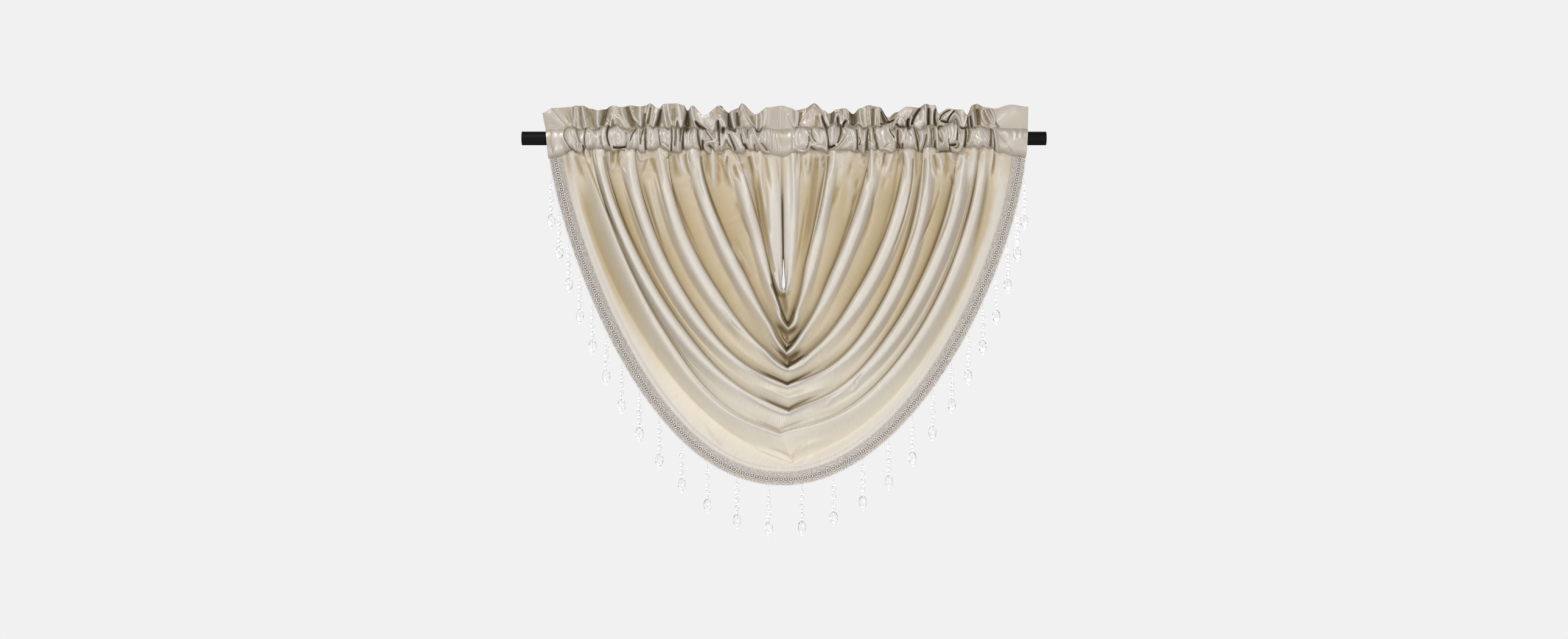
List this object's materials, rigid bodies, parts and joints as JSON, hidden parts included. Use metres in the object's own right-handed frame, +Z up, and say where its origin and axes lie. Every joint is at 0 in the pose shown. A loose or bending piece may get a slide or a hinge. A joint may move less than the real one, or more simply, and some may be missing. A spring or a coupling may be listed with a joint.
{
  "type": "swag valance curtain on a curtain rod",
  "caption": "One-piece swag valance of shot satin, gathered on a straight rod, with a centre slit, deep U-shaped folds, a braided curved hem and hanging bead strands.",
  "frame": {"origin": "on the rod's axis, at the middle of the rod", "axes": "+X along the rod to the right as seen from the room, +Y towards the window behind it, +Z up"},
  "size_m": [0.967, 0.0566, 0.7965],
  "materials": {
    "satin": "satin woven of champagne and silver-grey threads, glossy on the folds",
    "heading_satin": "the satin's greyer side, gathered and crinkled",
    "braid": "silver-grey gimp braid of three bands",
    "beads": "clear faceted beads",
    "rod_paint": "black satin paint"
  },
  "bodies": {
    "root": {"swag_panel": "satin", "heading_left": "heading_satin", "heading_right": "heading_satin", "hem_braid": "braid", "bead_fringe": "beads", "rod": "rod_paint"}
  },
  "joints": []
}
